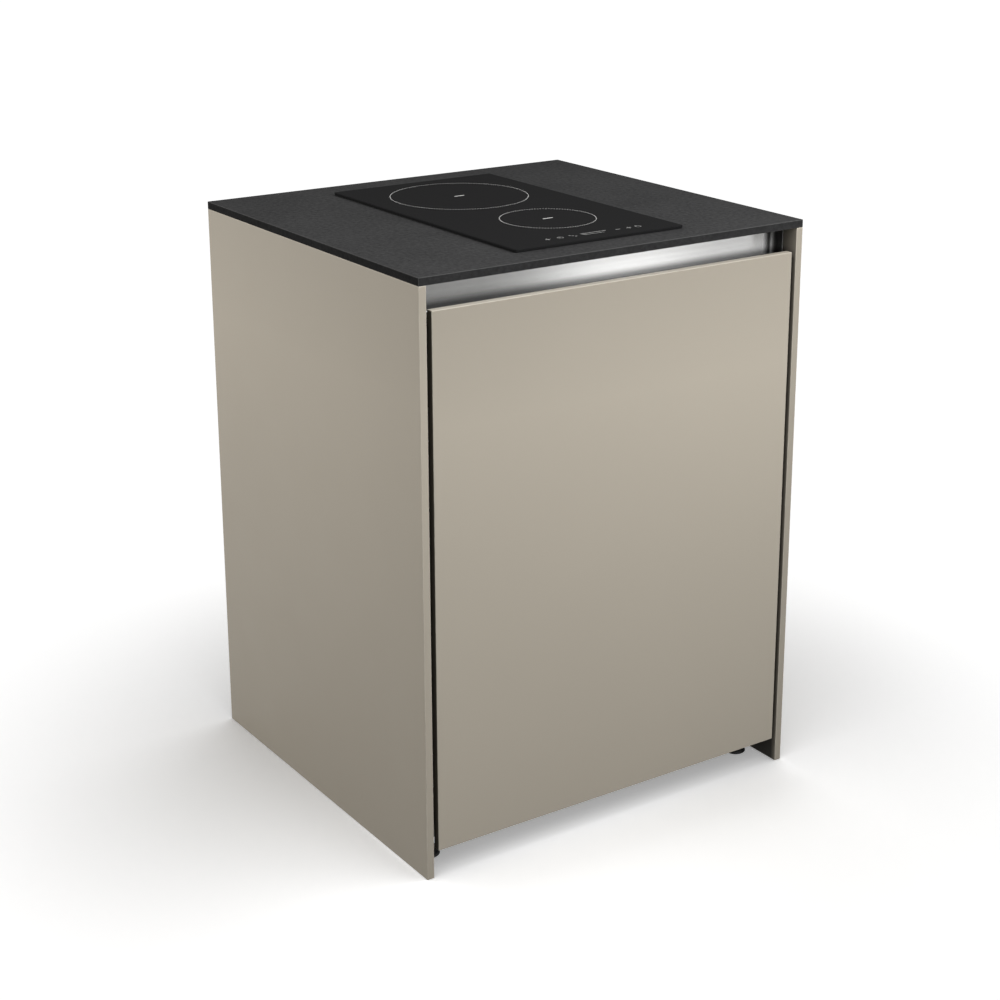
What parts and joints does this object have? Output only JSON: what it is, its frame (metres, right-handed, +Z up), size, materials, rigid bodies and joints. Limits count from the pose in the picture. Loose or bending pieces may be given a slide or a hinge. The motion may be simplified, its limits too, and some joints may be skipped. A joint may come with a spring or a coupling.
{
  "type": "mini kitchen unit",
  "caption": "Free-standing kitchen cabinet with a full-height pull-out front, a recessed grip channel and an induction hob in a thin worktop.",
  "frame": {"origin": "on the floor, in the middle of the width and the depth", "axes": "+Z up, -Y towards the front, +X to the right seen from the front"},
  "size_m": [0.68, 0.64, 0.905],
  "materials": {
    "lacquered_board": "matt taupe lacquer on board",
    "stone_slab": "matt charcoal sintered stone",
    "cabinet_board": "grey faced chipboard",
    "drawer_board": "dark grey faced board",
    "zinc_steel": "zinc-plated sheet",
    "brushed_steel": "brushed along its length",
    "black_plastic": "moulded",
    "black_glass": "black glass ceramic, printed zones",
    "seal_foam": "foam strip",
    "aluminium_sheet": "mill finish",
    "ferrite": "sintered",
    "copper_winding": "enamelled stranded copper",
    "beech": "turned beech",
    "circuit_board": "solder mask"
  },
  "bodies": {
    "cabinet": {"left_side_panel": "lacquered_board", "right_side_panel": "lacquered_board", "rear_panel": "lacquered_board", "worktop": "stone_slab", "cabinet_side_left": "cabinet_board", "cabinet_side_right": "cabinet_board", "cabinet_bottom": "cabinet_board", "rear_rail": "cabinet_board", "cable_grommet": "black_plastic", "heat_shield": "zinc_steel", "grip_channel": "brushed_steel", "worktop_brackets": "zinc_steel", "bracket_screws": "zinc_steel", "panel_screws": "zinc_steel", "rear_screws": "zinc_steel", "cabinet_dowels": "beech", "foot_sockets": "black_plastic", "hob_glass": "black_glass", "hob_seal": "seal_foam", "hob_case": "zinc_steel", "hob_clamps": "zinc_steel", "coil_carrier": "aluminium_sheet", "ferrite_bars": "ferrite", "coil_large": "copper_winding", "coil_small": "copper_winding", "power_board": "circuit_board", "heat_sink": "aluminium_sheet", "control_board": "circuit_board", "fan_housing": "black_plastic", "terminal_box": "black_plastic", "upper_runner_outer_left": "zinc_steel", "upper_runner_outer_right": "zinc_steel", "lower_runner_outer_left": "zinc_steel", "lower_runner_outer_right": "zinc_steel", "runner_screws": "zinc_steel"},
    "pull_out": {"front_panel": "lacquered_board", "front_brackets": "zinc_steel", "front_screws": "zinc_steel", "drawer_screws": "zinc_steel", "upper_drawer_left": "drawer_board", "upper_drawer_right": "drawer_board", "upper_drawer_back": "drawer_board", "upper_drawer_base": "drawer_board", "lower_drawer_left": "drawer_board", "lower_drawer_right": "drawer_board", "lower_drawer_back": "drawer_board", "lower_drawer_base": "drawer_board", "upper_runner_inner_left": "zinc_steel", "upper_runner_inner_right": "zinc_steel", "lower_runner_inner_left": "zinc_steel", "lower_runner_inner_right": "zinc_steel"},
    "upper_runner_middle_left": {"upper_runner_middle_left": "zinc_steel"},
    "upper_runner_middle_right": {"upper_runner_middle_right": "zinc_steel"},
    "lower_runner_middle_left": {"lower_runner_middle_left": "zinc_steel"},
    "lower_runner_middle_right": {"lower_runner_middle_right": "zinc_steel"},
    "foot_front_left": {"foot_front_left": "black_plastic"},
    "foot_front_right": {"foot_front_right": "black_plastic"},
    "foot_rear_left": {"foot_rear_left": "black_plastic"},
    "foot_rear_right": {"foot_rear_right": "black_plastic"},
    "fan_wheel": {"fan_rotor": "black_plastic"}
  },
  "joints": [
    {"name": "front_slide", "type": "slide", "parent": "cabinet", "child": "pull_out", "axis": [0, -1, 0], "range_m": [0, 0.45]},
    {"name": "upper_runner_left_slide", "type": "slide", "parent": "cabinet", "child": "upper_runner_middle_left", "axis": [0, -1, 0], "range_m": [0, 0.226]},
    {"name": "upper_runner_right_slide", "type": "slide", "parent": "cabinet", "child": "upper_runner_middle_right", "axis": [0, -1, 0], "range_m": [0, 0.226]},
    {"name": "lower_runner_left_slide", "type": "slide", "parent": "cabinet", "child": "lower_runner_middle_left", "axis": [0, -1, 0], "range_m": [0, 0.226]},
    {"name": "lower_runner_right_slide", "type": "slide", "parent": "cabinet", "child": "lower_runner_middle_right", "axis": [0, -1, 0], "range_m": [0, 0.226]},
    {"name": "foot_front_left_turn", "type": "hinge", "parent": "cabinet", "child": "foot_front_left", "pos_m": [-0.298, -0.255, 0.03], "axis": [0, 0, 1], "continuous": true},
    {"name": "foot_front_right_turn", "type": "hinge", "parent": "cabinet", "child": "foot_front_right", "pos_m": [0.298, -0.255, 0.03], "axis": [0, 0, 1], "continuous": true},
    {"name": "foot_rear_left_turn", "type": "hinge", "parent": "cabinet", "child": "foot_rear_left", "pos_m": [-0.298, 0.255, 0.03], "axis": [0, 0, 1], "continuous": true},
    {"name": "foot_rear_right_turn", "type": "hinge", "parent": "cabinet", "child": "foot_rear_right", "pos_m": [0.298, 0.255, 0.03], "axis": [0, 0, 1], "continuous": true},
    {"name": "fan_spin", "type": "hinge", "parent": "cabinet", "child": "fan_wheel", "pos_m": [-0.082, -0.139, 0.86], "axis": [0, 0, 1], "continuous": true}
  ],
  "couplings": [
    {"joint": "upper_runner_left_slide", "follows": "front_slide", "ratio": 0.5},
    {"joint": "upper_runner_right_slide", "follows": "front_slide", "ratio": 0.5},
    {"joint": "lower_runner_left_slide", "follows": "front_slide", "ratio": 0.5},
    {"joint": "lower_runner_right_slide", "follows": "front_slide", "ratio": 0.5}
  ]
}
